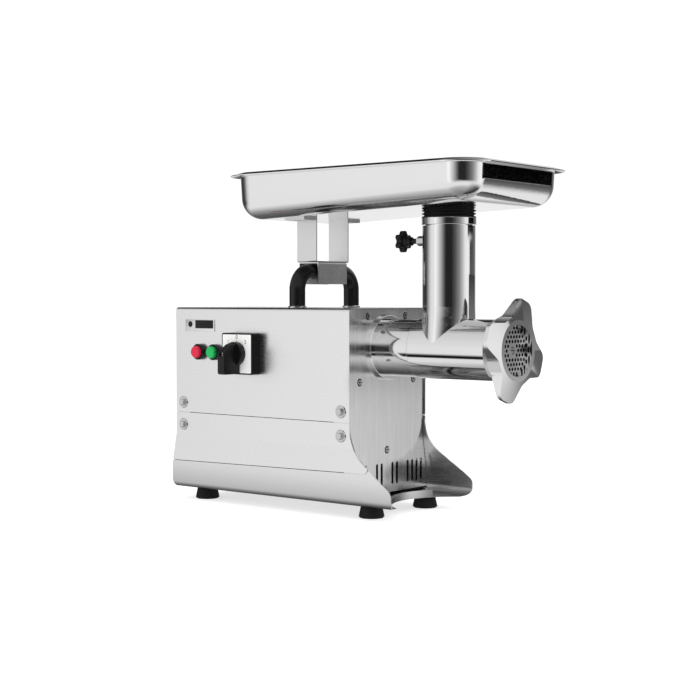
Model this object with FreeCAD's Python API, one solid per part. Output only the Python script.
import FreeCAD, Part
import math
import os

from FreeCAD import Vector

# Electric meat grinder, size 22, in millimetres.
# +X points out of the grinding head, -Y is the side with the switch, +Z is up.
# The origin is on the floor, at the centre of the four feet.

# ---- Casing -------------------------------------------------------------
BODY_LENGTH = 355.6      # rear plate edge to front plate face
BODY_WIDTH = 192.0       # over the flat upper sides
BODY_TOP = 308.5         # top of the upper cover
FRONT = 145.5            # face of the front plate, ahead of the feet's centre
REAR = FRONT - BODY_LENGTH
SHEET = 1.5              # casing sheet
BEND = 6.0               # outer bend of the upper cover
COVER_LIP = 3.0          # cover and side panels stand this far ahead of the front plate
SEAM = 0.9               # gap between neighbouring sheets
UPPER_SEAM = 140.0       # height of the seam under the upper cover
LOWER_SEAM_REAR = 62.5   # the lower seam rises a little towards the front
LOWER_SEAM_FRONT = 69.0
FLARE = 9.0              # the sides flare out by this much at the foot
FLARE_TOP = 106.0        # heights between which they lean out
FLARE_FOOT = 59.7
FLARE_BEND = 60.0
SKIRT_BOTTOM = 19.0
SKIRT_BEND = 14.0
FIN = 86.0               # the side fins reach this far ahead of the front plate
FIN_SLOPE = 35.0         # fall of the fin's sloping edge, degrees
FIN_SWEEP = 58.0         # radius where the fin leaves the upright edge
FIN_NOSE = 12.0          # radii of the fin's two front corners
FIN_HEEL = 10.0
PANEL_CORNER = 6.0
LIP = 33.0               # deepest point of the floor's curved front edge, ahead of the front plate
LIP_TOP = 30.5           # the edge is turned up to this height
LIP_HALF = 52.0
MOUTH_R = 98.0           # radius of that edge, seen from above
BACKING_LAP = 12.0       # the backing strips behind the seam reach this far down the floor pan
PLATE = 2.0              # front and rear plates
PLATE_FIT = 0.4          # gap from plate edge to the sheet around it
PLATE_FOOT = 28.0        # height of the front plate's lower edge
FLANGE = 28.0            # side flanges folded back from both plates
VENT_WIDTH = 5.2
VENT_FOOT = 39.5
VENT_HEAD = 73.3
VENT_PLACES = (13.5, 25.0, 52.7, 64.4, 75.9, 87.5)

# ---- Feet and fasteners --------------------------------------------------
FEET_X = 168.1           # half the distance between front and rear feet
FEET_Y = 67.6
FOOT_BOTTOM_R = 19.2
FOOT_TOP_R = 15.5
FOOT_WELL_R = 7.0        # recess under the foot for the bolt head
FOOT_WELL = 9.0
M6_R = 3.0
M8_R = 4.0
BOLT_CLEARANCE = 0.05    # shank to hole, radially
SIDE_BOLT_REAR = 16.5    # in from the rear edge
SIDE_BOLT_FRONT = 13.0   # in from the front plate face
SIDE_BOLT_HEIGHTS = (120.3, 156.0)
SIDE_WASHER_R = 9.5
SIDE_WASHER = 1.4
HEX_ACROSS = 10.0
HEX_HEAD = 4.2
FRONT_SCREWS = ((46.5, 296.4), (-46.5, 296.4), (67.0, 198.4), (-67.0, 198.4), (0.0, 93.0))
FLAT_HEAD_R = 6.0

# ---- Carrying handle -----------------------------------------------------
HANDLE_X = FRONT - 122.5
HANDLE_Y = 66.2          # leg axes
HANDLE_R = 12.25
HANDLE_BAR = 364.0       # axis height of the grip
HANDLE_TURN = 28.0       # centre-line radius of the two corners
COLLAR_R = 14.2
COLLAR = 3.0

# ---- Drive ---------------------------------------------------------------
AXIS = 248.7             # height of the grinding head's axis
OUT_MODULE = 2.0
OUT_WHEEL = 43
OUT_PINION = 17
IN_MODULE = 1.5
IN_WHEEL = 43
IN_PINION = 15
LAY_AXIS = AXIS - OUT_MODULE * (OUT_WHEEL + OUT_PINION) / 2
MOTOR_AXIS = LAY_AXIS - IN_MODULE * (IN_WHEEL + IN_PINION) / 2
BACKLASH = 0.24
FACE_WIDTH = 18.0        # gear wheels; the pinions are wider by PINION_EXTRA
PINION_EXTRA = 3.0
OUT_SHAFT_R = 15.0
LAY_SHAFT_R = 8.5
MOTOR_SHAFT_R = 7.5
BEARING_PLAY = 0.05      # radial, shaft to bearing
OUT_BEARING_R = 26.0
SMALL_BEARING_R = 17.5
BEARING_WIDTH = 12.0
BOX_WALL = 5.5
BOX_HALF = 53.0          # half width of the gearbox, outside
BOX_FOOT = MOTOR_AXIS - 22.0
BOX_HEAD = AXIS + 54.3
BOX_FRONT_WALL = 14.0
BOX_DEPTH = 68.0         # front wall and side walls together
BOX_COVER = 6.0
BOSS_DEPTH = 12.0        # bearing bosses behind the cover
STATOR_R = 56.0
STATOR_BORE = 30.6
AIR_GAP = 0.6
STATOR_LENGTH = 80.0
BELL = 8.0
BELL_RIM = 16.0
SLOTS = 18
WINDING_OUT = 15.0       # how far the coil heads stand out of the stack
OUT_GEAR_BACK = 37.0     # middles of the two gear pairs, behind the front plate's face
LAY_GEAR_BACK = 60.0

# ---- Grinding head -------------------------------------------------------
SOCKET_FLANGE_R = 49.0
SOCKET_FLANGE = 6.0
SOCKET_R = 43.0
SOCKET_LENGTH = 67.6
SOCKET_BORE = 38.3
SPIGOT_FIT = 0.3
LOCK_X = 38.0            # clamping knob on the far side of the socket
BARREL_R = 44.45
BARREL_END = 222.0       # front edge of the barrel, ahead of the front plate
BORE_R = 36.0
PLATE_SEAT_R = 41.1
PLATE_SEAT = 20.5        # depth of the seat for knife and plate
REAR_WALL = 14.0
TUBE_BACK = 6.5          # from the rear face of the barrel to the feed tube
TUBE_R = 39.0
TUBE_SPREAD = 5.15       # how much further it reaches to each side where it runs into the barrel
TUBE_BORE = 35.2
TUBE_TOP = 428.8
TUBE_FLARE = 62.0        # height over the axis at which the spread begins
PLATE_R = 41.0
PLATE_THICK = 11.0
HOLE_R = 2.6
HOLE_PITCH = 7.6
HOLE_FIELD = 35.5
KNIFE_THICK = 9.0
KNIFE_R = 37.5
AUGER_R = 35.0
AUGER_ROOT = 15.0
AUGER_ROOT_FRONT = 21.0
AUGER_TURNS = 3
FLIGHT = 6.0
TENON = 15.6             # square ends of the auger
DRIVE_FIT = 0.3
NOSE_R = 6.0
PIN_R = 2.5              # key pin under the plate

# ---- Ring nut ------------------------------------------------------------
NUT_R = 47.5
NUT_START = 203.5        # rear edge, ahead of the front plate
NUT_FACE = 233.0         # at the opening
NUT_FALL = 5.0           # the face falls back this much towards the lobe tips
NUT_CROWN_R = 44.0       # the face is flat inside this radius
NUT_OPENING = 36.8
NUT_FIT = 0.35           # plain clearance in place of the thread
LOBES = 4
LOBE_R = 75.3            # over the flat of a lobe's tip
LOBE_TIP = 12.5          # half angle of the tip, degrees
LOBE_FLANK = 32.0        # where the flanks end, degrees from the tip's middle
LOBE_VALLEY = 50.2
LOBE_TURN = -19.1        # degrees from straight up, towards +Y
LOBE_EDGE = 4.0

# ---- Feed tray -----------------------------------------------------------
TRAY_REAR = -207.5       # outer faces of the walls, from the front plate
TRAY_FRONT = 233.4
TRAY_HALF = 125.0
RIM = 15.0               # width of the rim round the walls
RIM_DROP = 4.5           # the rim's outer edge lies this much lower
RIM_TOP = 514.3
TRAY_SHEET = 1.2
TRAY_CORNER = 38.0
TRAY_DRAFT = 3.5         # how far each wall leans in over the tray's depth
TRAY_DEPTH_REAR = 71.5
TRAY_DEPTH_FRONT = 56.5
TRAY_BEND = 32.0
NECK_R = 34.8            # spigot that drops into the feed tube
NECK_WALL = 1.6
NECK_END = 396.0
NECK_RING_R = 40.2
NECK_RING = 10.5
RING_GAP = 1.2           # the neck ring sits this far over the tube
GASKET_R = 36.5
GASKET_RIB_R = 39.8
KNOB_HEIGHT = 408.0      # both the tray lock and its boss
KNOB_R = 15.8
KNOB_LENGTH = 21.0
STAR_THICK = 10.0
KNOB_STUD = 28.0         # from the tube to the knob
BOSS_LENGTH = 15.5
HUB_R = 6.5

# ---- Tray bracket --------------------------------------------------------
BRACKET_SHEET = 2.0
BRACKET_LEG = 39.6       # outer faces of the legs
BRACKET_WIDTH = 39.0
BRACKET_TOE = 68.5       # ends of the upper flanges
SADDLE_HALF = 35.0
SADDLE_FOOT = 345.0
SADDLE_GAP = 1.0         # over the handle bar
SADDLE_SLACK = 2.05      # between the grip and the saddle's front wall
SADDLE_SHEET = 1.5

# ---- Controls ------------------------------------------------------------
BUTTONS_Z = 238.0
RED_X = -300.5
GREEN_X = -267.4
BEZEL_R = 12.6
BEZEL = 8.0
CAP_R = 9.8
CAP_STAND = 14.0
CAP_FIT = 0.3
CAP_BACK = 4.2           # the cap's back stands this far ahead of the cover
STEM_R = 3.0
BLOCK_WELL = 10.5        # spring well, measured in from the cover's outer face
SPRING_R = 5.2
SPRING_WIRE = 0.5
SPRING_TURNS = 5
SWITCH_X = -205.0
SWITCH_Z = 237.5
SWITCH_SIZE = 64.0
SWITCH_DEPTH = 18.0
FACE_PLATE = 1.2
KNOB_DISC_R = 18.5
KNOB_DISC = 9.0
LEVER_WIDTH = 15.0
LEVER_DOWN = 31.0
LEVER_UP = 15.5
LEVER_STAND = 35.0
BADGE_X = -301.0
BADGE_Z = 279.8
BADGE_WIDTH = 64.0
BADGE_HEIGHT = 19.4
BADGE_THICK = 0.8

# ---- Cable entry ---------------------------------------------------------
GLAND_Y = 40.0
GLAND_Z = 95.0
GLAND_THREAD = 10.0
GLAND_BORE = 4.6

# Places that follow from the sizes above.
HALF = BODY_WIDTH / 2
FOOT_HALF = HALF + FLARE
UP = math.pi / 2         # directions in which a gear's first tooth points
DOWN = -math.pi / 2
AXIS_X = Vector(1, 0, 0)
AXIS_Y = Vector(0, 1, 0)
AXIS_Z = Vector(0, 0, 1)
BOX_START = FRONT - PLATE - BOX_DEPTH          # rear edge of the gearbox walls
BOX_COVER_X = BOX_START - BOX_COVER
OUT_GEAR_X = FRONT - OUT_GEAR_BACK
LAY_GEAR_X = FRONT - LAY_GEAR_BACK
STATOR_X = BOX_COVER_X - BOSS_DEPTH - BELL - BELL_RIM - STATOR_LENGTH
HEAD_X = FRONT + SOCKET_LENGTH                 # rear face of the barrel
SEAT_X = FRONT + BARREL_END - PLATE_SEAT
TRAY_AXIS_X = HEAD_X + TUBE_BACK + TUBE_R
BAR_TOP = HANDLE_BAR + HANDLE_R
BRACKET_BASE = BAR_TOP + SADDLE_GAP
BRACKET_X = HANDLE_X + HANDLE_R + SADDLE_SLACK + SADDLE_SHEET - BRACKET_WIDTH / 2


# ---- Helpers -------------------------------------------------------------
def place(plane, a, b, c=0.0):
    """A point given by its two in-plane values and its height over the plane."""
    if plane == "XY":
        return Vector(a, b, c)
    if plane == "XZ":
        return Vector(a, c, b)
    return Vector(c, a, b)


def outline(corners, plane, height=0.0):
    """Closed wire through corners (a, b, radius), rounded by tangent arcs."""
    points = [place(plane, a, b, height) for a, b, radius in corners]
    ends = []
    for i, corner in enumerate(corners):
        point = points[i]
        if corner[2] == 0:
            ends.append((point, None, point))
            continue
        back = (points[i - 1] - point).normalize()
        ahead = (points[(i + 1) % len(points)] - point).normalize()
        half = back.getAngle(ahead) / 2
        inward = (back + ahead).normalize()
        centre = point + inward * (corner[2] / math.sin(half))
        reach = corner[2] / math.tan(half)
        ends.append((point + back * reach, centre - inward * corner[2], point + ahead * reach))
    edges = []
    for i, (start, middle, end) in enumerate(ends):
        if middle is not None:
            edges.append(Part.Arc(start, middle, end).toShape())
        following = ends[(i + 1) % len(ends)][0]
        if (following - end).Length > 1e-6:
            edges.append(Part.LineSegment(end, following).toShape())
    return Part.Wire(edges)


def prism(corners, plane, start, end):
    """Solid from an outline, from one height over its plane to another."""
    face = Part.Face(outline(corners, plane, start))
    return face.extrude(place(plane, 0, 0, end - start))


def box(x0, x1, y0, y1, z0, z1):
    return Part.makeBox(x1 - x0, y1 - y0, z1 - z0, Vector(x0, y0, z0))


def rod(x, y, z, radius, length, axis=AXIS_X):
    return Part.makeCylinder(radius, length, Vector(x, y, z), axis)


def ring(x, y, z, outer, inner, length, axis=AXIS_X):
    return rod(x, y, z, outer, length, axis).cut(rod(x, y, z, inner, length, axis))


def turned(profile, centre, axis):
    """Solid of revolution: the profile's points are (along the axis, radius)."""
    side = AXIS_Z if abs(axis.z) < 0.5 else AXIS_X
    points = [centre + axis * a + side * r for a, r in profile]
    face = Part.Face(Part.makePolygon(points + points[:1]))
    return face.revolve(centre, axis, 360)


def rectangle(a0, a1, b0, b1, radius=0.0):
    return [(a0, b0, radius), (a1, b0, radius), (a1, b1, radius), (a0, b1, radius)]


def hexagon(x, y, z, across, length, axis):
    """Hexagonal bar with two corners level."""
    wire = Part.makePolygon([Vector(math.cos(t), math.sin(t), 0) * (across / math.sqrt(3))
                             for t in [math.radians(60 * i) for i in range(7)]])
    bar = Part.Face(wire).extrude(AXIS_Z * length)
    bar.Placement = FreeCAD.Placement(Vector(x, y, z), FreeCAD.Rotation(AXIS_Z, axis))
    return bar


def joined(shapes):
    first = shapes[0]
    return first.fuse(shapes[1:]).removeSplitter() if len(shapes) > 1 else first


def group(shapes):
    """Several separate solids in one node."""
    return Part.makeCompound(shapes)


def rounded(shape, radius, chosen):
    """Fillets the edges for which chosen(edge) is true."""
    return shape.makeFillet(radius, [edge for edge in shape.Edges if chosen(edge)])


def is_level(edge, axis, value):
    """Whether an edge lies wholly at one value along an axis."""
    low = getattr(edge.BoundBox, axis + "Min")
    high = getattr(edge.BoundBox, axis + "Max")
    return abs(low - value) < 0.01 and abs(high - value) < 0.01


def save(name, shape):
    if shape.ShapeType == "Compound" and len(shape.Solids) == 1:
        shape = shape.Solids[0]
    if not shape.isValid() or len(shape.Solids) == 0:
        raise ValueError(name + " is not a valid solid")
    shape.exportStep("parts/" + name + ".step")
    print(name, len(shape.Solids), round(shape.Volume / 1000, 2), "cm3")


def hex_bolt(x, y, z, axis, across, head, radius, length):
    """Hexagon-head bolt: the head's underside is at the point, the axis points out."""
    skull = hexagon(x, y, z, across, head, axis)
    crown = turned([(0, 0), (0, across), (head * 0.6, across * 0.62), (head, across * 0.46), (head, 0)],
                   Vector(x, y, z), axis)
    shank = rod(x, y, z, radius, length, axis * -1)
    return joined([skull.common(crown), shank])


# ---- Casing sheets -------------------------------------------------------
def side_section(inset, top=None):
    """Cross-section of the casing, inset from its outer faces."""
    upper = BODY_TOP - inset if top is None else top
    corner = max(BEND - inset, 0.5)
    half = HALF - inset
    foot = FOOT_HALF - inset
    bottom = SKIRT_BOTTOM + inset
    return [(-half, upper, corner), (-half, FLARE_TOP, FLARE_BEND), (-foot, FLARE_FOOT, FLARE_BEND),
            (-foot, bottom, SKIRT_BEND - inset), (foot, bottom, SKIRT_BEND - inset),
            (foot, FLARE_FOOT, FLARE_BEND), (half, FLARE_TOP, FLARE_BEND), (half, upper, corner)]


def casing_sheet(start, end):
    outer = prism(side_section(0), "YZ", start, end)
    return outer.cut(prism(side_section(SHEET), "YZ", start - 1, end + 1))


def fin_height(x):
    """Height of the fin's sloping edge, x ahead of the front plate."""
    base = FLARE_TOP - 4.5
    return base - (x - COVER_LIP) * math.tan(math.radians(FIN_SLOPE))


def lower_seam(x):
    """Height of the lower seam at x."""
    span = FRONT + FIN - REAR
    return LOWER_SEAM_REAR + (LOWER_SEAM_FRONT - LOWER_SEAM_REAR) * (x - REAR) / span


def side_outline():
    """Side view of the lower sheets, down to the floor."""
    edge = FRONT + COVER_LIP
    nose = FRONT + FIN
    return [(REAR, UPPER_SEAM - SEAM / 2, 0), (edge, UPPER_SEAM - SEAM / 2, 0),
            (edge, fin_height(COVER_LIP), FIN_SWEEP), (nose, fin_height(FIN), FIN_NOSE),
            (nose, SKIRT_BOTTOM - 0.01, FIN_HEEL), (REAR, SKIRT_BOTTOM - 0.01, 0)]


def bolt_places():
    """Side bolt positions (x, z)."""
    return [(x, z) for x in (REAR + SIDE_BOLT_REAR, FRONT - SIDE_BOLT_FRONT) for z in SIDE_BOLT_HEIGHTS]


def side_holes(radius):
    """Round bars through the casing at every side bolt."""
    return [rod(x, -FOOT_HALF, z, radius, 2 * FOOT_HALF, AXIS_Y) for x, z in bolt_places()]


def upper_cover():
    sheet = casing_sheet(REAR, FRONT + COVER_LIP)
    sheet = sheet.cut(box(REAR - 1, FRONT + FIN, -FOOT_HALF, FOOT_HALF, 0, UPPER_SEAM + SEAM / 2))
    holes = side_holes(M6_R + BOLT_CLEARANCE)
    for s in (-1, 1):
        holes.append(rod(HANDLE_X, s * HANDLE_Y, BODY_TOP - 10, M8_R + BOLT_CLEARANCE, 20, AXIS_Z))
    for x in (RED_X, GREEN_X):
        holes.append(rod(FRONT + x, -FOOT_HALF, BUTTONS_Z, CAP_R + CAP_FIT, 20, AXIS_Y))
    holes.append(rod(FRONT + SWITCH_X, -FOOT_HALF, SWITCH_Z, 5.0, 20, AXIS_Y))
    return sheet.cut(holes)


def lower_panel(side):
    sheet = casing_sheet(REAR, FRONT + FIN).common(prism(side_outline(), "XZ", -FOOT_HALF - 1, FOOT_HALF + 1))
    lower = lower_seam(REAR) + SEAM / 2
    fall = fin_height(COVER_LIP) - lower_seam(FRONT + FIN)
    front_x = FRONT + COVER_LIP + fall / math.tan(math.radians(FIN_SLOPE))
    upper = prism([(REAR - 1, lower, 0), (front_x, lower_seam(front_x) + SEAM / 2, PANEL_CORNER),
                   (front_x - 25, lower_seam(front_x) + 25, 0), (FRONT + FIN, UPPER_SEAM, 0),
                   (REAR - 1, UPPER_SEAM, 0)], "XZ", -FOOT_HALF - 1, FOOT_HALF + 1)
    near = box(REAR, FRONT + FIN, min(0, side * FOOT_HALF), max(0, side * FOOT_HALF), 0, UPPER_SEAM)
    return sheet.common(upper).common(near).cut(side_holes(M6_R + BOLT_CLEARANCE))


def base_pan():
    sheet = casing_sheet(REAR, FRONT + FIN).common(prism(side_outline(), "XZ", -FOOT_HALF - 1, FOOT_HALF + 1))
    rear = lower_seam(REAR) - SEAM / 2
    front = lower_seam(FRONT + FIN) - SEAM / 2
    sheet = sheet.common(prism([(REAR, 0, 0), (FRONT + FIN, 0, 0), (FRONT + FIN, front, 0), (REAR, rear, 0)],
                               "XZ", -FOOT_HALF - 1, FOOT_HALF + 1))
    sheet = sheet.cut(rod(FRONT + LIP + MOUTH_R, 0, 0, MOUTH_R, LIP_TOP, AXIS_Z))
    lip = ring(FRONT + LIP + MOUTH_R, 0, SKIRT_BOTTOM, MOUTH_R + SHEET, MOUTH_R, LIP_TOP - SKIRT_BOTTOM,
               AXIS_Z)
    lip = lip.common(box(FRONT, FRONT + FIN, -LIP_HALF, LIP_HALF, 0, LIP_TOP))
    holes = [rod(sx * FEET_X, sy * FEET_Y, 0, M6_R + BOLT_CLEARANCE, 40, AXIS_Z)
             for sx in (-1, 1) for sy in (-1, 1)]
    return sheet.fuse([lip] + fin_backing()).removeSplitter().cut(holes)


def fin_backing():
    """Strips of the floor pan that stand behind the side panels and close the seam inside both fins."""
    foot = lower_seam(FRONT + FIN) - BACKING_LAP
    strip = prism(side_section(SHEET), "YZ", FRONT + SEAM, FRONT + FIN)
    strip = strip.cut(prism(side_section(2 * SHEET), "YZ", FRONT, FRONT + FIN + 1))
    strip = strip.common(prism(side_outline(), "XZ", -FOOT_HALF, FOOT_HALF))
    strip = strip.common(box(FRONT, FRONT + FIN, -FOOT_HALF, FOOT_HALF, foot, UPPER_SEAM - 6))
    return strip.Solids


def end_plate(face, inward, foot):
    """End plate with its outer face at x = face, and flanges folded inward along the sides and the top."""
    inset = SHEET + PLATE_FIT
    deep = face + inward * FLANGE
    back = face + inward * PLATE
    block = prism(side_section(inset), "YZ", min(face, deep), max(face, deep))
    hollow = prism(side_section(inset + PLATE), "YZ", min(back, deep + inward), max(back, deep + inward))
    below = box(min(back, deep + inward), max(back, deep + inward), -FOOT_HALF, FOOT_HALF, 0, FLARE_TOP + 2)
    return block.cut([hollow, below, box(face - 60, face + 60, -FOOT_HALF, FOOT_HALF, 0, foot)])


def front_plate():
    plate = end_plate(FRONT, -1, PLATE_FOOT)
    cuts = [rod(FRONT - 5, 0, AXIS, SOCKET_R - 3 + SPIGOT_FIT, 10)]
    for y, z in FRONT_SCREWS:
        cuts.append(rod(FRONT - 5, y, z, M6_R + BOLT_CLEARANCE, 10))
        sink = [(1, 0), (1, FLAT_HEAD_R + 0.1), (-0.25, FLAT_HEAD_R + 0.1), (-PLATE - 1, FLAT_HEAD_R - 2.9),
                (-PLATE - 1, 0)]
        cuts.append(turned(sink, Vector(FRONT, y, z), AXIS_X))
    for across in VENT_PLACES:
        for s in (-1, 1):
            y = s * across
            cuts.append(prism(rectangle(y - VENT_WIDTH / 2, y + VENT_WIDTH / 2, VENT_FOOT, VENT_HEAD,
                                        VENT_WIDTH / 2 - 0.01), "YZ", FRONT - 5, FRONT + 5))
    return plate.cut(cuts + side_holes(M6_R + BOLT_CLEARANCE))


def rear_plate():
    plate = end_plate(REAR + 1.0, 1, SKIRT_BOTTOM + SHEET + PLATE_FIT)
    cuts = [rod(REAR - 5, GLAND_Y, GLAND_Z, GLAND_THREAD + 0.2, 20)]
    for row in range(3):
        for column in range(-5, 6):
            y = column * 12.0
            z = 200 + row * 30.0
            cuts.append(prism(rectangle(y - 2.5, y + 2.5, z - 11, z + 11, 2.49), "YZ", REAR - 5, REAR + 8))
    return plate.cut(cuts + side_holes(M6_R + BOLT_CLEARANCE))




# ---- Feet and fasteners --------------------------------------------------
def feet_places():
    return [(sx * FEET_X, sy * FEET_Y) for sx in (-1, 1) for sy in (-1, 1)]


def rubber_feet():
    feet = []
    for x, y in feet_places():
        foot = turned([(0, FOOT_WELL_R), (0, FOOT_BOTTOM_R - 2), (2, FOOT_BOTTOM_R),
                       (SKIRT_BOTTOM, FOOT_TOP_R),
                       (SKIRT_BOTTOM, M6_R + BOLT_CLEARANCE), (FOOT_WELL, M6_R + BOLT_CLEARANCE),
                       (FOOT_WELL, FOOT_WELL_R)], Vector(x, y, 0), AXIS_Z)
        feet.append(foot)
    return group(feet)


def foot_bolts():
    length = SKIRT_BOTTOM - FOOT_WELL + SHEET + 9.5
    bolts = []
    for x, y in feet_places():
        profile = [(0, 0), (0, 5.5), (-3.0, 5.5), (-4.0, 4.5), (-4.0, 0)]
        head = turned(profile, Vector(x, y, FOOT_WELL), AXIS_Z)
        bolts.append(joined([head, rod(x, y, FOOT_WELL, M6_R, length, AXIS_Z)]))
    return group(bolts)


def foot_nuts():
    top = SKIRT_BOTTOM + SHEET
    nuts = []
    for x, y in feet_places():
        body = joined([rod(x, y, top, 6.5, 1.4, AXIS_Z), hexagon(x, y, top + 1.4, HEX_ACROSS, 5.0, AXIS_Z)])
        nuts.append(body.cut(rod(x, y, top - 1, M6_R + BOLT_CLEARANCE, 20, AXIS_Z)))
    return group(nuts)


def side_bolts():
    reach = SHEET + PLATE_FIT + PLATE + 6
    bolts = []
    for s in (-1, 1):
        for x, z in bolt_places():
            bolts.append(hex_bolt(x, s * (HALF + SIDE_WASHER), z, AXIS_Y * s, HEX_ACROSS, HEX_HEAD,
                                  M6_R, reach + SIDE_WASHER))
    return group(bolts)


def side_washers():
    washers = []
    for s in (-1, 1):
        for x, z in bolt_places():
            washer = turned([(0, M6_R + BOLT_CLEARANCE), (0, SIDE_WASHER_R),
                             (SIDE_WASHER * 0.5, SIDE_WASHER_R),
                             (SIDE_WASHER, SIDE_WASHER_R - 0.7), (SIDE_WASHER, M6_R + BOLT_CLEARANCE)],
                            Vector(x, s * HALF, z), AXIS_Y * s)
            washers.append(washer)
    return group(washers)


def flat_screw(x, y, z, length):
    """Countersunk screw with a hexagon socket, facing +X."""
    body = turned([(-0.25, 0), (-0.25, FLAT_HEAD_R), (-PLATE, FLAT_HEAD_R - 2.0), (-PLATE, M6_R),
                   (-length, M6_R),
                   (-length, 0)], Vector(x, y, z), AXIS_X)
    return body.cut(hexagon(x - 3.4, y, z, 4.0, 4.0, AXIS_X))


def front_plate_screws():
    return group([flat_screw(FRONT, y, z, PLATE + 9) for y, z in FRONT_SCREWS])


# ---- Handle --------------------------------------------------------------
def carry_handle():
    flat = HANDLE_Y - HANDLE_TURN
    pieces = [rod(HANDLE_X, -flat, HANDLE_BAR, HANDLE_R, 2 * flat, AXIS_Y)]
    for s in (-1, 1):
        centre = Vector(HANDLE_X, s * flat, HANDLE_BAR - HANDLE_TURN)
        bend_start = Vector(HANDLE_X, s * flat, HANDLE_BAR)
        circle = Part.Face(Part.Wire(Part.makeCircle(HANDLE_R, bend_start, AXIS_Y)))
        pieces.append(circle.revolve(centre, AXIS_X * -s, 90))
        foot = BODY_TOP + COLLAR
        pieces.append(rod(HANDLE_X, s * HANDLE_Y, foot, HANDLE_R, centre.z - foot, AXIS_Z))
    grip = joined(pieces)
    holes = [rod(HANDLE_X, s * HANDLE_Y, BODY_TOP, M8_R + BOLT_CLEARANCE, 24, AXIS_Z) for s in (-1, 1)]
    return grip.cut(holes)


def handle_collars():
    collars = []
    for s in (-1, 1):
        collars.append(turned([(0, M8_R + BOLT_CLEARANCE), (0, COLLAR_R), (COLLAR - 1, COLLAR_R),
                               (COLLAR, COLLAR_R - 1), (COLLAR, M8_R + BOLT_CLEARANCE)],
                              Vector(HANDLE_X, s * HANDLE_Y, BODY_TOP), AXIS_Z))
    return group(collars)


def handle_bolts():
    start = BODY_TOP - SHEET
    return group([hex_bolt(HANDLE_X, s * HANDLE_Y, start, AXIS_Z * -1, 13.0, 5.3, M8_R, 22)
                  for s in (-1, 1)])


# ---- Gears ---------------------------------------------------------------
def gear_section(teeth, module, phase):
    """Points (y, z) of an involute gear with one tooth centred on the phase angle."""
    pitch_r = module * teeth / 2
    base_r = pitch_r * math.cos(math.radians(20))
    tip_r = pitch_r + 0.95 * module
    root_r = pitch_r - 1.2 * module
    lowest = max(base_r, root_r)

    def involute(radius):
        t = math.sqrt(max((radius / base_r) ** 2 - 1, 0))
        return t - math.atan(t)

    half = math.pi / (2 * teeth) - BACKLASH / (2 * pitch_r) + involute(pitch_r)
    radii = [lowest + (tip_r - lowest) * (i / 5) for i in range(6)]
    flank = [(radius, half - involute(radius)) for radius in radii]
    if root_r < lowest:
        flank.insert(0, (root_r, flank[0][1]))
    points = []
    for tooth in range(teeth):
        centre = phase + 2 * math.pi * tooth / teeth
        for radius, angle in flank:
            points.append((radius * math.cos(centre - angle), radius * math.sin(centre - angle)))
        for radius, angle in reversed(flank):
            points.append((radius * math.cos(centre + angle), radius * math.sin(centre + angle)))
    return points


def gear(teeth, module, phase, z, x, width):
    """Spur gear about an axis along X at height z, starting at x."""
    points = [Vector(x, a, z + b) for a, b in gear_section(teeth, module, phase)]
    return Part.Face(Part.makePolygon(points + points[:1])).extrude(AXIS_X * width)




def lightened(wheel, x, z, width, hub, rim):
    """Takes a recess out of both faces of a gear wheel."""
    for start in (x, x + width - 4):
        wheel = wheel.cut(ring(start, 0, z, rim, hub, 4))
    return wheel


def output_gear():
    wheel = gear(OUT_WHEEL, OUT_MODULE, DOWN + math.pi / OUT_WHEEL, AXIS, OUT_GEAR_X, FACE_WIDTH)
    wheel = lightened(wheel, OUT_GEAR_X, AXIS, FACE_WIDTH, 22, 37)
    return wheel.cut(rod(OUT_GEAR_X - 1, 0, AXIS, OUT_SHAFT_R, FACE_WIDTH + 2))


def output_shaft():
    """Shaft with a hub in front that has a square socket for the auger."""
    start = BOX_COVER_X - BOSS_DEPTH + 2
    hub_x = FRONT + 2
    shaft = rod(start, 0, AXIS, OUT_SHAFT_R, hub_x - start)
    hub = rod(hub_x, 0, AXIS, OUT_SHAFT_R + 4, 28)
    half = TENON / 2 + DRIVE_FIT
    socket = box(hub_x + 6, hub_x + 40, -half, half, AXIS - half, AXIS + half)
    return joined([shaft, hub]).cut(socket)


def layshaft():
    start = BOX_COVER_X - BOSS_DEPTH + 2
    pinion_x = OUT_GEAR_X - PINION_EXTRA / 2
    pinion = gear(OUT_PINION, OUT_MODULE, UP, LAY_AXIS, pinion_x, FACE_WIDTH + PINION_EXTRA)
    shaft = rod(start, 0, LAY_AXIS, LAY_SHAFT_R, FRONT - PLATE - 1 - start)
    return joined([shaft, pinion])


def layshaft_gear():
    wheel = gear(IN_WHEEL, IN_MODULE, DOWN + math.pi / IN_WHEEL, LAY_AXIS, LAY_GEAR_X, FACE_WIDTH)
    wheel = lightened(wheel, LAY_GEAR_X, LAY_AXIS, FACE_WIDTH, 14, 27)
    return wheel.cut(rod(LAY_GEAR_X - 1, 0, LAY_AXIS, LAY_SHAFT_R, FACE_WIDTH + 2))


def motor_shaft():
    end = LAY_GEAR_X + FACE_WIDTH + PINION_EXTRA / 2
    start = STATOR_X - BELL_RIM - BELL - 30
    pinion_x = LAY_GEAR_X - PINION_EXTRA / 2
    pinion = gear(IN_PINION, IN_MODULE, UP, MOTOR_AXIS, pinion_x, FACE_WIDTH + PINION_EXTRA)
    return joined([rod(start, 0, MOTOR_AXIS, MOTOR_SHAFT_R, end - start), pinion])


# ---- Gearbox -------------------------------------------------------------
def box_outline(inset):
    return rectangle(-BOX_HALF + inset, BOX_HALF - inset, BOX_FOOT + inset, BOX_HEAD - inset, 12.0 - inset)


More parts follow.
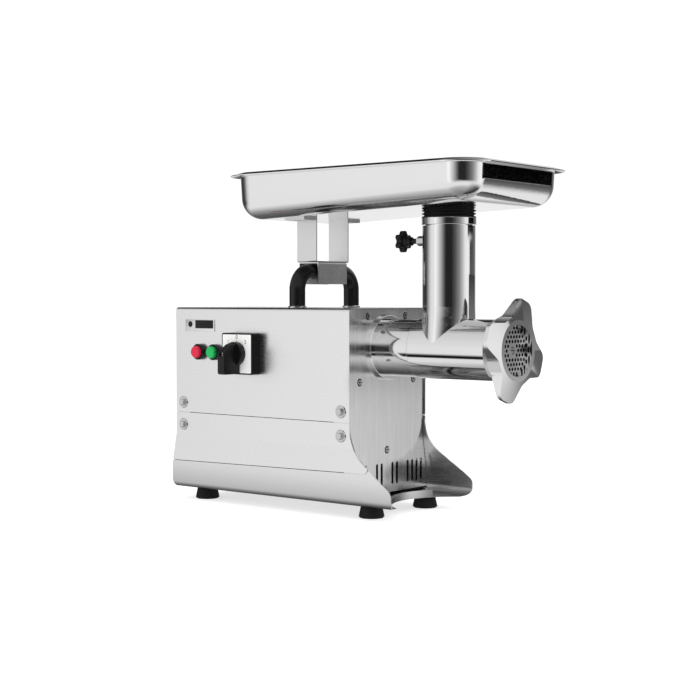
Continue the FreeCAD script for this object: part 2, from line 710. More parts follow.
def gearbox_housing():
    front = FRONT - PLATE
    flange = prism([(58, BOX_HEAD, 9), (78, 200, 12), (66, 182, 12), (15, 82, 12), (-15, 82, 12),
                    (-66, 182, 12),
                    (-78, 200, 12), (-58, BOX_HEAD, 9)], "YZ", front - BOX_FRONT_WALL, front)
    case = prism(box_outline(0), "YZ", BOX_START, front)
    hollow = prism(box_outline(BOX_WALL), "YZ", BOX_START - 1, front - BOX_FRONT_WALL)
    shell = flange.fuse(case).removeSplitter().cut(hollow)
    cuts = [rod(front - BOX_FRONT_WALL - 1, 0, AXIS, OUT_BEARING_R, BOX_FRONT_WALL + 2),
            rod(front - BOX_FRONT_WALL - 1, 0, LAY_AXIS, SMALL_BEARING_R, BOX_FRONT_WALL)]
    cuts += [rod(front - 12, y, z, M6_R + BOLT_CLEARANCE, 13) for y, z in FRONT_SCREWS]
    cuts += [rod(BOX_START - 1, y, z, 2.55, 12) for y, z in cover_screw_places()]
    return shell.cut(cuts)


def cover_screw_places():
    y = BOX_HALF - BOX_WALL / 2
    middle = (BOX_FOOT + BOX_HEAD) / 2
    return [(s * y, z) for s in (-1, 1) for z in (BOX_FOOT + 18, middle, BOX_HEAD - 18)]


def gearbox_cover():
    plate = prism(box_outline(0), "YZ", BOX_COVER_X, BOX_START)
    boss_x = BOX_COVER_X - BOSS_DEPTH
    bosses = [rod(boss_x, 0, AXIS, OUT_BEARING_R + 6, BOSS_DEPTH),
              rod(boss_x, 0, LAY_AXIS, SMALL_BEARING_R + 5, BOSS_DEPTH),
              rod(boss_x, 0, MOTOR_AXIS, SMALL_BEARING_R + 6, BOSS_DEPTH)]
    cover = joined([plate] + bosses)
    seat = boss_x + BOSS_DEPTH + BOX_COVER - BEARING_WIDTH
    cuts = [rod(seat, 0, AXIS, OUT_BEARING_R, 40), rod(seat, 0, LAY_AXIS, SMALL_BEARING_R, 40),
            rod(seat, 0, MOTOR_AXIS, SMALL_BEARING_R, 40),
            rod(boss_x - 1, 0, MOTOR_AXIS, MOTOR_SHAFT_R + 1.5, 40),
            rod(boss_x + 1.5, 0, AXIS, OUT_SHAFT_R + 1.5, 40),
            rod(boss_x + 1.5, 0, LAY_AXIS, LAY_SHAFT_R + 1.5, 40)]
    cuts += [rod(BOX_COVER_X - 1, y, z, 2.55, 12) for y, z in cover_screw_places()]
    return cover.cut(cuts)


def gearbox_screws():
    return group([hex_bolt(BOX_COVER_X, y, z, AXIS_X * -1, 8.0, 3.5, 2.5, BOX_COVER + 9)
                  for y, z in cover_screw_places()])


def bearing(x, z, outer, shaft):
    """Sealed ball bearing: one ring with its shields set back."""
    inner = shaft + BEARING_PLAY
    body = ring(x, 0, z, outer, inner, BEARING_WIDTH)
    lip = (outer - inner) * 0.22
    for start in (x, x + BEARING_WIDTH - 0.8):
        body = body.cut(ring(start, 0, z, outer - lip, inner + lip, 0.8))
    return body


def bearings():
    front = FRONT - PLATE - BEARING_WIDTH
    rear = BOX_START - BEARING_WIDTH
    places = [(front - 1, AXIS, OUT_BEARING_R, OUT_SHAFT_R), (rear, AXIS, OUT_BEARING_R, OUT_SHAFT_R),
              (front - 1, LAY_AXIS, SMALL_BEARING_R, LAY_SHAFT_R),
              (rear, LAY_AXIS, SMALL_BEARING_R, LAY_SHAFT_R),
              (rear, MOTOR_AXIS, SMALL_BEARING_R, MOTOR_SHAFT_R),
              (STATOR_X - BELL_RIM - BELL, MOTOR_AXIS, SMALL_BEARING_R, MOTOR_SHAFT_R)]
    return group([bearing(*where) for where in places])


# ---- Motor ---------------------------------------------------------------


def stator_core():
    """Stack of laminations: a round back iron with slots around the bore."""
    stack = ring(STATOR_X, 0, MOTOR_AXIS, STATOR_R, STATOR_BORE, STATOR_LENGTH)
    slot = box(STATOR_X - 1, STATOR_X + STATOR_LENGTH + 1, -3.0, 3.0,
               MOTOR_AXIS + STATOR_BORE - 2, MOTOR_AXIS + 46)
    slots = []
    for i in range(SLOTS):
        copy = slot.copy()
        copy.rotate(Vector(0, 0, MOTOR_AXIS), AXIS_X, 360 * i / SLOTS)
        slots.append(copy)
    ties = [rod(STATOR_X - 1, y, z, 2.6, STATOR_LENGTH + 2) for y, z in tie_places()]
    return stack.cut(slots + ties)


def tie_places():
    reach = (STATOR_R - 4.5) * math.sqrt(0.5)
    return [(a * reach, MOTOR_AXIS + b * reach) for a in (-1, 1) for b in (-1, 1)]


def stator_windings():
    """The two coil heads, at the ends of the stack."""
    heads = []
    for start in (STATOR_X - WINDING_OUT, STATOR_X + STATOR_LENGTH):
        head = ring(start, 0, MOTOR_AXIS, 47.0, 34.0, WINDING_OUT)
        end = start + WINDING_OUT
        heads.append(rounded(head, 5.0, lambda e: is_level(e, "X", start) or is_level(e, "X", end)))
    return group(heads)


def motor_end_bells():
    """Aluminium end covers that carry the bearings."""
    bells = []
    for side in (-1, 1):
        face = STATOR_X if side < 0 else STATOR_X + STATOR_LENGTH
        rim_x = face - BELL_RIM if side < 0 else face
        disc_x = rim_x - BELL if side < 0 else rim_x + BELL_RIM
        rim = ring(rim_x, 0, MOTOR_AXIS, STATOR_R, STATOR_R - 4, BELL_RIM)
        disc = rod(disc_x, 0, MOTOR_AXIS, STATOR_R, BELL)
        bell = joined([rim, disc])
        if side < 0:
            seat = rod(disc_x, 0, MOTOR_AXIS, SMALL_BEARING_R + 4, BEARING_WIDTH + 2)
            bearing_hole = rod(disc_x - 1, 0, MOTOR_AXIS, SMALL_BEARING_R, BEARING_WIDTH + 1)
            bell = joined([bell, seat]).cut(bearing_hole)
            bell = bell.cut(rod(disc_x - 1, 0, MOTOR_AXIS, MOTOR_SHAFT_R + 1.5, 30))
        else:
            bell = bell.cut(rod(disc_x - 1, 0, MOTOR_AXIS, MOTOR_SHAFT_R + 2.0, 30))
        bell = bell.cut([rod(rim_x - 20, y, z, 2.6, 60) for y, z in tie_places()])
        bells.append(bell)
    return group(bells)


def motor_tie_bolts():
    start = STATOR_X - BELL_RIM - BELL
    return group([hex_bolt(start, y, z, AXIS_X * -1, 8.0, 3.5, 2.5, STATOR_LENGTH + 2 * (BELL + BELL_RIM))
                  for y, z in tie_places()])


def rotor_core():
    core = ring(STATOR_X, 0, MOTOR_AXIS, STATOR_BORE - AIR_GAP, MOTOR_SHAFT_R, STATOR_LENGTH)
    bars = []
    for i in range(20):
        bar = box(STATOR_X - 1, STATOR_X + STATOR_LENGTH + 1, -1.2, 1.2, MOTOR_AXIS + 27, MOTOR_AXIS + 32)
        bar.rotate(Vector(0, 0, MOTOR_AXIS), AXIS_X, 18 * i)
        bars.append(bar)
    return core.cut(bars)


def cooling_fan():
    x = STATOR_X - BELL_RIM - BELL - 26
    hub = ring(x, 0, MOTOR_AXIS, 14.0, MOTOR_SHAFT_R, 16)
    disc = ring(x + 14, 0, MOTOR_AXIS, 48.0, MOTOR_SHAFT_R, 2)
    blades = []
    for i in range(9):
        blade = box(x, x + 15, -1.0, 1.0, MOTOR_AXIS + 12, MOTOR_AXIS + 47)
        blade.rotate(Vector(0, 0, MOTOR_AXIS + 12), AXIS_X, 25)
        blade.rotate(Vector(0, 0, MOTOR_AXIS), AXIS_X, 40 * i)
        blades.append(blade)
    fan = joined([hub, disc] + blades)
    return fan.common(rod(x, 0, MOTOR_AXIS, 48.0, 16))


def motor_support():
    """Bent sheet foot under the motor, shaped to the stack."""
    floor = SKIRT_BOTTOM + SHEET
    x0 = STATOR_X + 12
    x1 = STATOR_X + STATOR_LENGTH - 12
    post = box(x0, x1, -40, 40, floor, MOTOR_AXIS - 30)
    inside = box(x0 - 1, x1 + 1, -37, 37, floor + 3, MOTOR_AXIS)
    foot = joined([post.cut(inside)] + [box(x0, x1, min(s * 39, s * 60), max(s * 39, s * 60), floor,
                                            floor + 3)
                                        for s in (-1, 1)])
    return foot.cut(rod(x0 - 1, 0, MOTOR_AXIS, STATOR_R, x1 - x0 + 2))


def capacitor():
    can = rod(REAR + 20, 62, 50, 20.0, 88)
    can = rounded(can, 3.0, lambda e: is_level(e, "X", REAR + 20))
    lugs = [box(REAR + 107, REAR + 116, 62 + s * 6 - 3, 62 + s * 6 + 3, 49.4, 50.6) for s in (-1, 1)]
    return joined([can] + lugs)


def cable_gland():
    """Cable entry in the rear plate."""
    body = turned([(-22, GLAND_BORE), (-22, 9.0), (-18, 12.0), (-6, 12.0), (-6, 13.5), (0, 13.5),
                   (0, GLAND_THREAD), (14, GLAND_THREAD), (14, GLAND_BORE)],
                  Vector(REAR + 1.0, GLAND_Y, GLAND_Z), AXIS_X)
    return body


# ---- Controls ------------------------------------------------------------
def bezel(x):
    """Collar of a push button, with the part that passes through the cover."""
    face = -HALF
    inner = CAP_R
    return turned([(-SHEET - 0.5, inner - 1.0), (-SHEET - 0.5, inner - 0.2), (0, inner - 0.2), (0, BEZEL_R),
                   (BEZEL - 1.2, BEZEL_R), (BEZEL, BEZEL_R - 1.2), (BEZEL, inner), (1.0, inner),
                   (1.0, inner - 1.0)],
                  Vector(FRONT + x, face, BUTTONS_Z), AXIS_Y * -1)


def button_bezels():
    return group([bezel(RED_X), bezel(GREEN_X)])


def button(x):
    """Domed cap and its plunger."""
    cap_r = CAP_R - CAP_FIT
    cap = turned([(CAP_BACK, 0), (CAP_BACK, cap_r), (CAP_STAND - 2.2, cap_r), (CAP_STAND - 0.8, cap_r - 0.9),
                  (CAP_STAND - 0.2, cap_r - 2.8), (CAP_STAND, cap_r - 5.5), (CAP_STAND, 0)],
                 Vector(FRONT + x, -HALF, BUTTONS_Z), AXIS_Y * -1)
    stem = rod(FRONT + x, -HALF - CAP_BACK, BUTTONS_Z, STEM_R, 26, AXIS_Y)
    return joined([cap, stem])


def contact_blocks():
    """Switch blocks behind the push buttons, one bored housing each."""
    blocks = []
    for x in (RED_X, GREEN_X):
        cx = FRONT + x
        start = -HALF + SHEET
        body = box(cx - 13, cx + 13, start, start + 34, BUTTONS_Z - 18, BUTTONS_Z + 18)
        well = rod(cx, start - 1, BUTTONS_Z, CAP_R + 0.5, -HALF + BLOCK_WELL - start + 1, AXIS_Y)
        blocks.append(body.cut([well, rod(cx, start, BUTTONS_Z, STEM_R + CAP_FIT, 28, AXIS_Y)]))
    return group(blocks)


def button_spring(x):
    """Return spring around the plunger, between the cap and the floor of the contact block's well."""
    length = CAP_BACK + BLOCK_WELL - 2 * SPRING_WIRE - 0.2
    path = Part.makeHelix(length / SPRING_TURNS, length, SPRING_R)
    section = Part.Wire(Part.makeCircle(SPRING_WIRE, Vector(SPRING_R, 0, 0), AXIS_Y))
    coil = Part.Wire(path.Edges).makePipeShell([section], True, True)
    start = -HALF - CAP_BACK + SPRING_WIRE + 0.1
    turn = FreeCAD.Rotation(AXIS_Z, AXIS_Y)
    coil.Placement = FreeCAD.Placement(Vector(FRONT + x, start, BUTTONS_Z), turn)
    return coil


def switch_housing():
    half = SWITCH_SIZE / 2
    x = FRONT + SWITCH_X
    block = prism(rectangle(x - half, x + half, SWITCH_Z - half, SWITCH_Z + half, 3.0),
                  "XZ", -HALF - SWITCH_DEPTH, -HALF)
    block = rounded(block, 1.2, lambda e: is_level(e, "Y", -HALF - SWITCH_DEPTH))
    recess = prism(rectangle(x - half + 2.2, x + half - 2.2, SWITCH_Z - half + 2.2, SWITCH_Z + half - 2.2,
                             1.5),
                   "XZ", -HALF - SWITCH_DEPTH - 1, -HALF - SWITCH_DEPTH + FACE_PLATE)
    return block.cut(recess).cut(rod(x, -HALF - 30, SWITCH_Z, 5.0, 40, AXIS_Y))


def switch_face_plate():
    half = SWITCH_SIZE / 2 - 2.4
    x = FRONT + SWITCH_X
    face = -HALF - SWITCH_DEPTH
    outline = rectangle(x - half, x + half, SWITCH_Z - half, SWITCH_Z + half, 1.4)
    plate = prism(outline, "XZ", face, face + FACE_PLATE)
    return plate.cut(rod(x, face - 1, SWITCH_Z, 6.0, 4, AXIS_Y))


def switch_body():
    """Rotary cam switch inside the casing, with a bore for the knob's spindle."""
    x = FRONT + SWITCH_X
    start = -HALF + SHEET
    block = box(x - 24, x + 24, start, start + 36, SWITCH_Z - 24, SWITCH_Z + 24)
    block = rounded(block, 3.0, lambda e: abs(e.BoundBox.YLength - 36) < 0.01)
    return block.cut(rod(x, start - 1, SWITCH_Z, 3.4, 22, AXIS_Y))


def switch_knob():
    """Pointer knob: a disc, a thick lever that hangs down, and the spindle."""
    x = FRONT + SWITCH_X
    face = -HALF - SWITCH_DEPTH - 0.5
    disc = rod(x, face, SWITCH_Z, KNOB_DISC_R, KNOB_DISC, AXIS_Y * -1)
    disc = rounded(disc, 1.5, lambda e: is_level(e, "Y", face - KNOB_DISC))
    half = LEVER_WIDTH / 2
    lever = prism([(face, SWITCH_Z - LEVER_DOWN, 1.5), (face, SWITCH_Z + LEVER_UP, 1.5),
                   (face - LEVER_STAND * 0.45, SWITCH_Z + LEVER_UP, 4.0),
                   (face - LEVER_STAND, SWITCH_Z + LEVER_UP - 12, 5.0),
                   (face - LEVER_STAND, SWITCH_Z - LEVER_DOWN, 4.0)], "YZ", x - half, x + half)
    lever = rounded(lever, 1.6, lambda e: is_level(e, "X", x - half) or is_level(e, "X", x + half))
    spindle = rod(x, face, SWITCH_Z, 3.2, 35, AXIS_Y)
    knob = joined([disc, lever, spindle])
    return knob.cut(rod(x, face - LEVER_STAND - 1, SWITCH_Z, 4.2, 7, AXIS_Y))


def knob_screw():
    x = FRONT + SWITCH_X
    base = -HALF - SWITCH_DEPTH - 0.5 - LEVER_STAND + 6
    head = rod(x, base, SWITCH_Z, 3.9, 2.4, AXIS_Y * -1)
    slot = box(x - 5, x + 5, base - 3, base - 1.4, SWITCH_Z - 0.6, SWITCH_Z + 0.6)
    return head.cut(slot)


def nameplate():
    x = FRONT + BADGE_X
    field = rectangle(x - BADGE_WIDTH / 2, x + BADGE_WIDTH / 2, BADGE_Z - BADGE_HEIGHT / 2,
                      BADGE_Z + BADGE_HEIGHT / 2, 1.5)
    return prism(field, "XZ", -HALF - BADGE_THICK, -HALF)


# ---- Grinding head -------------------------------------------------------
def head_socket():
    """Flanged socket on the front of the casing that takes the head's spigot."""
    flange = rod(FRONT, 0, AXIS, SOCKET_FLANGE_R, SOCKET_FLANGE)
    flange = rounded(flange, 1.5, lambda e: is_level(e, "X", FRONT + SOCKET_FLANGE))
    collar = rod(FRONT, 0, AXIS, SOCKET_R, SOCKET_LENGTH)
    pilot = rod(FRONT - PLATE, 0, AXIS, SOCKET_R - 3, PLATE)
    body = joined([flange, collar, pilot])
    cuts = [rod(FRONT + SOCKET_FLANGE, 0, AXIS, SOCKET_BORE, SOCKET_LENGTH),
            rod(FRONT - 10, 0, AXIS, OUT_SHAFT_R + 5, 30),
            rod(FRONT + LOCK_X, 0, AXIS, M8_R + BOLT_CLEARANCE, 60, AXIS_Y)]
    return body.cut(cuts)


def star_outline(lobes, tip, valley):
    """Star with rounded tips and valleys, centred on the axis."""
    corners = []
    for i in range(lobes):
        for offset, radius, bend in ((-0.15, tip, 2.9), (0.15, tip, 2.9), (0.5, valley, 3.6)):
            t = 2 * math.pi * (i + offset) / lobes
            corners.append((radius * math.cos(t), radius * math.sin(t), bend))
    return corners


def star_knob(lobes):
    """Star grip on a stud. The axis is +Z, and the stud starts at the origin and points down."""
    base = KNOB_LENGTH - STAR_THICK
    grip = prism(star_outline(lobes, KNOB_R * 1.03, KNOB_R * 0.7), "XY", base, KNOB_LENGTH)
    grip = rounded(grip, 1.8, lambda e: is_level(e, "Z", KNOB_LENGTH) or is_level(e, "Z", base))
    profile = [(0, 0), (0, HUB_R), (4, HUB_R), (base + 1, KNOB_R * 0.6), (base + 1, 0)]
    hub = turned(profile, Vector(0, 0, 0), AXIS_Z)
    return joined([grip, hub])


def on_axis(shape, point, axis):
    shape.Placement = FreeCAD.Placement(point, FreeCAD.Rotation(AXIS_Z, axis))
    return shape


def head_lock_knob():
    """Clamping knob on the far side of the socket."""
    stand = SOCKET_R + 12.0
    reach = stand - SOCKET_BORE + SPIGOT_FIT / 2
    whole = joined([star_knob(6), rod(0, 0, -reach, M8_R, reach + 1, AXIS_Z)])
    return on_axis(whole, Vector(FRONT + LOCK_X, stand, AXIS), AXIS_Y)


def tube_outer():
    """Feed tube: round above, spreading sideways where it runs into the barrel."""
    flare_z = AXIS + TUBE_FLARE
    round_part = rod(TRAY_AXIS_X, 0, flare_z, TUBE_R, TUBE_TOP - flare_z, AXIS_Z)
    upper = Part.Wire(Part.makeCircle(TUBE_R, Vector(TRAY_AXIS_X, 0, flare_z), AXIS_Z))
    centre = Vector(TRAY_AXIS_X, 0, AXIS)
    ellipse = Part.Ellipse(centre + Vector(0, TUBE_R + TUBE_SPREAD, 0), centre + Vector(TUBE_R, 0, 0), centre)
    lower = Part.Wire(ellipse.toShape())
    return round_part, Part.makeLoft([lower, upper], True, True)


def tube_inside():
    return rod(TRAY_AXIS_X, 0, AXIS, TUBE_BORE, TUBE_TOP - AXIS + 1, AXIS_Z)


def barrel_outer():
    barrel = rod(HEAD_X, 0, AXIS, BARREL_R, FRONT + BARREL_END - HEAD_X)
    return rounded(barrel, 1.0, lambda e: is_level(e, "X", HEAD_X))


def feed_tube():
    """Upright tube, welded on the barrel along a saddle-shaped seam."""
    round_part, flare = tube_outer()
    wall = TUBE_R - TUBE_BORE
    screw_hole = rod(TRAY_AXIS_X - TUBE_R - 5, 0, KNOB_HEIGHT, M8_R + BOLT_CLEARANCE, wall + 9)
    return round_part.fuse(flare).cut([barrel_outer(), tube_inside(), screw_hole])


def grinder_head():
    """Barrel with its rear spigot and front seat."""
    spigot_r = SOCKET_BORE - SPIGOT_FIT
    spigot = rod(FRONT + SOCKET_FLANGE + 4, 0, AXIS, spigot_r, SOCKET_LENGTH - SOCKET_FLANGE)
    wall_end = HEAD_X + REAR_WALL
    cuts = [rod(wall_end, 0, AXIS, BORE_R, 200),
            rod(SEAT_X, 0, AXIS, PLATE_SEAT_R, PLATE_SEAT + 1),
            rod(FRONT, 0, AXIS, 30.0, SOCKET_LENGTH),
            rod(FRONT, 0, AXIS, AUGER_ROOT + 0.08, 200),
            tube_inside(),
            rod(SEAT_X + KNIFE_THICK + 1, 0, AXIS - PLATE_SEAT_R + 1.4, PIN_R, 20)]
    return barrel_outer().fuse(spigot).cut(cuts)


def plate_key_pin():
    """Pin in the bottom of the seat that keeps the plate from turning."""
    x = SEAT_X + KNIFE_THICK + 1
    pin = rod(x, 0, AXIS - PLATE_SEAT_R + 1.4, PIN_R - 0.02, 11)
    return pin


def grinding_plate():
    x = SEAT_X + KNIFE_THICK + 1.5
    disc = rod(x, 0, AXIS, PLATE_R, PLATE_THICK)
    holes = [rod(x - 1, 0, AXIS, NOSE_R + 0.08, PLATE_THICK + 2)]
    row = HOLE_PITCH * math.sqrt(3) / 2
    for j in range(-5, 6):
        for i in range(-6, 7):
            y = (i + 0.5 * (j % 2)) * HOLE_PITCH
            z = j * row
            if NOSE_R + HOLE_R + 1.5 < math.hypot(y, z) < HOLE_FIELD:
                holes.append(rod(x - 1, y, AXIS + z, HOLE_R, PLATE_THICK + 2))
    notch = rod(x - 1, 0, AXIS - PLATE_SEAT_R + 1.4, PIN_R + 0.3, PLATE_THICK + 2)
    return disc.cut(holes + [notch])


def auger():
    """Feed screw: square tail, round journal, tapered core with one flight, square nose and pin."""
    journal_x = FRONT + 30
    core_x = HEAD_X + REAR_WALL + 0.5
    knife_x = SEAT_X + 0.5
    core_end = SEAT_X - 0.5
    half = TENON / 2
    tail = box(FRONT + 10, journal_x + 1, -half, half, AXIS - half, AXIS + half)
    journal = rod(journal_x, 0, AXIS, AUGER_ROOT, core_x - journal_x + 1)
    core = turned([(0, 0), (0, AUGER_ROOT + 2), (core_end - core_x, AUGER_ROOT_FRONT),
                   (core_end - core_x, 0)],
                  Vector(core_x, 0, AXIS), AXIS_X)
    square = box(core_end - 1, knife_x + KNIFE_THICK, -half, half, AXIS - half, AXIS + half)
    nose = rod(core_end, 0, AXIS, NOSE_R, FRONT + BARREL_END - core_end - 3)
    length = core_end - core_x - FLIGHT
    helix = Part.makeHelix(length / AUGER_TURNS, length, AUGER_R)
    section = Part.makePolygon([Vector(AUGER_ROOT, 0, 0), Vector(AUGER_R, 0, FLIGHT * 0.2),
                                Vector(AUGER_R, 0, FLIGHT * 0.8), Vector(AUGER_ROOT, 0, FLIGHT),
                                Vector(AUGER_ROOT, 0, 0)])
    flight = Part.Wire(helix.Edges).makePipeShell([section], True, True)
    flight.Placement = FreeCAD.Placement(Vector(core_x, 0, AXIS), FreeCAD.Rotation(AXIS_Z, AXIS_X))
    return core.fuse(flight).fuse([tail, journal, square, nose])


def knife():
    """Four-bladed knife with a square hole."""
    x = SEAT_X + 0.5
    hub = rod(x, 0, AXIS, 16.0, KNIFE_THICK)
    blades = []
    for i in range(4):
        blade = prism([(-2, -8, 0), (KNIFE_R, -5, 0), (KNIFE_R, 4, 0), (-2, 8, 0)], "YZ", x, x + KNIFE_THICK)
        blade.translate(Vector(0, 0, AXIS))
        blade.rotate(Vector(0, 0, AXIS), AXIS_X, 90 * i + 20)
        blades.append(blade)
    half = TENON / 2 + DRIVE_FIT
    square = box(x - 1, x + KNIFE_THICK + 1, -half, half, AXIS - half, AXIS + half)
    return joined([hub] + blades).cut(square)


def lobe_outline():
    """Lobed rim of the ring nut: flat tips with round corners, joined by wide valleys."""
    tip_corner = LOBE_R / math.cos(math.radians(LOBE_TIP))
    valley_half = 180 / LOBES - LOBE_FLANK
    valley_corner = LOBE_VALLEY / math.cos(math.radians(valley_half))
    corners = []
    for i in range(LOBES):
        centre = 90 + LOBE_TURN + 360 * i / LOBES
        for offset, radius, bend in ((-LOBE_TIP, tip_corner, 12), (LOBE_TIP, tip_corner, 12),
                                     (LOBE_FLANK, valley_corner, 18),
                                     (LOBE_FLANK + 2 * valley_half, valley_corner, 18)):
            t = math.radians(centre + offset)
            corners.append((radius * math.cos(t), AXIS + radius * math.sin(t), bend))
    return corners


def ring_nut():
    """Ring nut that clamps the plate, with four lobes for the hand."""
    start = FRONT + NUT_START
    length = NUT_FACE - NUT_START
    sleeve = rod(start, 0, AXIS, NUT_R, length)
    lobes = prism(lobe_outline(), "YZ", start, start + length)
    wide = LOBE_R + 4
    tip_front = length - NUT_FALL
    body = turned([(0, 0), (0, NUT_R), (10, NUT_R + 4), (tip_front - LOBE_EDGE, wide), (tip_front, wide),
                   (length, NUT_CROWN_R), (length, 0)], Vector(start, 0, AXIS), AXIS_X)
    blank = sleeve.fuse(lobes).common(body).removeSplitter()
    shoulder = SEAT_X + KNIFE_THICK + 1.5 + PLATE_THICK + 0.2
    cuts = [rod(start - 1, 0, AXIS, BARREL_R + NUT_FIT, shoulder - start + 1),
            rod(start, 0, AXIS, NUT_OPENING, 40)]
    return blank.cut(cuts)


# ---- Feed tray -----------------------------------------------------------
def tray_floor(x):
    """Height of the tray's outer bottom at x, measured from the front plate."""
    share = (x - TRAY_REAR) / (TRAY_FRONT - TRAY_REAR)
    return RIM_TOP - TRAY_DEPTH_REAR + (TRAY_DEPTH_REAR - TRAY_DEPTH_FRONT) * share


def tray_wire(grow, corner, z):
    """Rounded rectangle round the tray, grown outward from its walls."""
    sides = rectangle(FRONT + TRAY_REAR - grow, FRONT + TRAY_FRONT + grow, -TRAY_HALF - grow,
                      TRAY_HALF + grow,
                      corner)
    return outline(sides, "XY", z)


def tray_body(inset):
    """Solid inside the tray's walls, inset from their outer faces, with a rounded bottom."""
    low = RIM_TOP - TRAY_DEPTH_REAR - 20
    wires = []
    for z, lean in ((low, TRAY_DRAFT * 1.25), (RIM_TOP + 2 * inset, 0.0)):
        wires.append(tray_wire(-inset - lean, TRAY_CORNER - inset - lean * 0.5, z))
    block = Part.makeLoft(wires, True, True)
    rear_z = tray_floor(TRAY_REAR) + inset
    front_z = tray_floor(TRAY_FRONT) + inset
    below = prism([(FRONT + TRAY_REAR, rear_z, 0), (FRONT + TRAY_REAR, 300, 0), (FRONT + TRAY_FRONT, 300, 0),
                   (FRONT + TRAY_FRONT, front_z, 0)], "XZ", -200, 200)
    block = block.cut(below)
    limit = front_z + 0.5
    return rounded(block, TRAY_BEND - inset, lambda e: e.BoundBox.ZMax < limit)


def rim_block(drop):
    """Flat-topped block whose sloping sides carry the rim, lowered by drop."""
    edge = tray_wire(RIM, TRAY_CORNER + RIM, RIM_TOP - RIM_DROP - drop)
    return Part.makeLoft([edge, tray_wire(0, TRAY_CORNER, RIM_TOP - drop)], True, True)


def feed_tray():
    edge_low = RIM_TOP - RIM_DROP - TRAY_SHEET
    band = Part.Face(tray_wire(RIM, TRAY_CORNER + RIM, edge_low)).extrude(AXIS_Z * TRAY_SHEET)
    rim = rim_block(0).fuse(band).cut(rim_block(TRAY_SHEET))
    shell = tray_body(0).fuse(rim).cut(tray_body(TRAY_SHEET))
    hole = rod(TRAY_AXIS_X, 0, 420, NECK_R - NECK_WALL, 60, AXIS_Z)
    return shell.cut(hole)


def neck_top(radius):
    """Slanted block under the tray that trims what joins it."""
    low = tray_floor(TRAY_AXIS_X - FRONT - radius)
    high = tray_floor(TRAY_AXIS_X - FRONT + radius)
    return prism([(TRAY_AXIS_X - radius, 380, 0), (TRAY_AXIS_X + radius, 380, 0),
                  (TRAY_AXIS_X + radius, high, 0),
                  (TRAY_AXIS_X - radius, low, 0)], "XZ", -radius, radius)


def tray_neck():
    """Spigot welded under the tray, with the ring that sits on the feed tube."""
    ring_z = TUBE_TOP + RING_GAP
    neck = rod(TRAY_AXIS_X, 0, NECK_END, NECK_R, 90, AXIS_Z).common(neck_top(50))
    band = rod(TRAY_AXIS_X, 0, ring_z, NECK_RING_R, NECK_RING, AXIS_Z)
    band = rounded(band, 0.8, lambda e: is_level(e, "Z", ring_z) or is_level(e, "Z", ring_z + NECK_RING))
    return joined([neck, band]).cut(rod(TRAY_AXIS_X, 0, 380, NECK_R - NECK_WALL, 100, AXIS_Z))


def tray_gasket():
    """Ribbed rubber sleeve between the neck ring and the tray."""
    base = TUBE_TOP + RING_GAP + NECK_RING
    inner = NECK_R
    profile = [(0, inner), (0, GASKET_RIB_R)]
    for i in range(3):
        z = 1.6 + i * 4.6
        profile += [(z, GASKET_RIB_R), (z + 1.2, GASKET_R), (z + 2.6, GASKET_R), (z + 3.8, GASKET_RIB_R)]
    profile += [(30, GASKET_RIB_R), (30, inner)]
    sleeve = turned(profile, Vector(TRAY_AXIS_X, 0, base), AXIS_Z)
    return sleeve.common(neck_top(50))


def tray_lock_boss():
    """Threaded boss welded to the rear of the feed tube."""
    start = TRAY_AXIS_X - TUBE_R - BOSS_LENGTH
    boss = hexagon(start, 0, KNOB_HEIGHT, 13.0, BOSS_LENGTH + 2, AXIS_X)
    boss = boss.cut(rod(TRAY_AXIS_X, 0, KNOB_HEIGHT - 20, TUBE_R, 40, AXIS_Z))
    return boss.cut(rod(start - 1, 0, KNOB_HEIGHT, M8_R + BOLT_CLEARANCE, 30))


def tray_lock_knob():
    """Star knob whose stud presses on the tray's neck."""
    reach = KNOB_STUD + TUBE_R - NECK_R - 0.3
    whole = joined([star_knob(6), rod(0, 0, -reach, M8_R, reach + 1, AXIS_Z)])
    return on_axis(whole, Vector(TRAY_AXIS_X - TUBE_R - KNOB_STUD, 0, KNOB_HEIGHT), AXIS_X * -1)


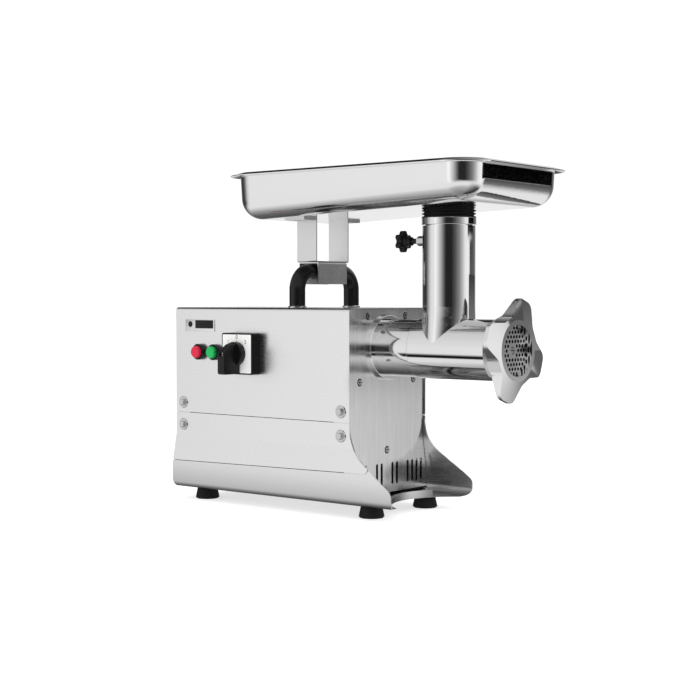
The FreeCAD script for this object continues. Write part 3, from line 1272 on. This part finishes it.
def tray_bracket():
    """Hat-shaped strip welded under the sloping tray, standing on the saddle."""
    x0 = BRACKET_X - BRACKET_WIDTH / 2
    x1 = x0 + BRACKET_WIDTH
    s = BRACKET_SHEET
    low = tray_floor(x0 - FRONT)
    high = tray_floor(x1 - FRONT)
    base = BRACKET_BASE + SADDLE_SHEET
    leg = BRACKET_LEG
    strip = prism([(-BRACKET_TOE, low - s, 0), (-leg, low - s, 0), (-leg, base, 3), (leg, base, 3),
                   (leg, low - s, 0),
                   (BRACKET_TOE, low - s, 0), (BRACKET_TOE, high, 0), (leg - s, high, 0),
                   (leg - s, base + s, 1),
                   (-leg + s, base + s, 1), (-leg + s, high, 0), (-BRACKET_TOE, high, 0)], "YZ", x0, x1)
    above = prism([(x0 - 0.01, low, 0), (x1 + 0.01, high, 0), (x0 - 0.01, high + 1, 0)], "XZ",
                  -BRACKET_TOE - 1, BRACKET_TOE + 1)
    return strip.cut(above)



def handle_saddle():
    """Channel spot-welded under the bracket, which drops over the handle's bar."""
    half = BRACKET_WIDTH / 2
    s = SADDLE_SHEET
    top = BRACKET_BASE + s
    x = BRACKET_X
    return prism([(x - half, SADDLE_FOOT, 0), (x - half, top, 2.5), (x + half, top, 2.5),
                  (x + half, SADDLE_FOOT, 0),
                  (x + half - s, SADDLE_FOOT, 0), (x + half - s, top - s, 1.0), (x - half + s, top - s, 1.0),
                  (x - half + s, SADDLE_FOOT, 0)], "XZ", -SADDLE_HALF, SADDLE_HALF)


# ---- Build ---------------------------------------------------------------
os.makedirs("parts", exist_ok=True)

NODES = [upper_cover, base_pan, front_plate, rear_plate, rubber_feet, foot_bolts, foot_nuts, side_bolts,
         side_washers, front_plate_screws, carry_handle, handle_collars, handle_bolts, output_gear,
         output_shaft, layshaft, layshaft_gear, motor_shaft, gearbox_housing, gearbox_cover,
         gearbox_screws, bearings, stator_core, stator_windings, motor_end_bells, motor_tie_bolts,
         rotor_core, cooling_fan, motor_support, capacitor, cable_gland, button_bezels, contact_blocks,
         switch_housing, switch_face_plate, switch_body, switch_knob, knob_screw, nameplate, head_socket,
         head_lock_knob, grinder_head, feed_tube, plate_key_pin, grinding_plate, auger, knife, ring_nut,
         feed_tray, tray_neck, tray_gasket, tray_lock_boss, tray_lock_knob, tray_bracket, handle_saddle]
for make in NODES:
    save(make.__name__, make())
save("lower_panel_left", lower_panel(1))
save("lower_panel_right", lower_panel(-1))
save("red_button", button(RED_X))
save("green_button", button(GREEN_X))
save("button_springs", group([button_spring(RED_X), button_spring(GREEN_X)]))
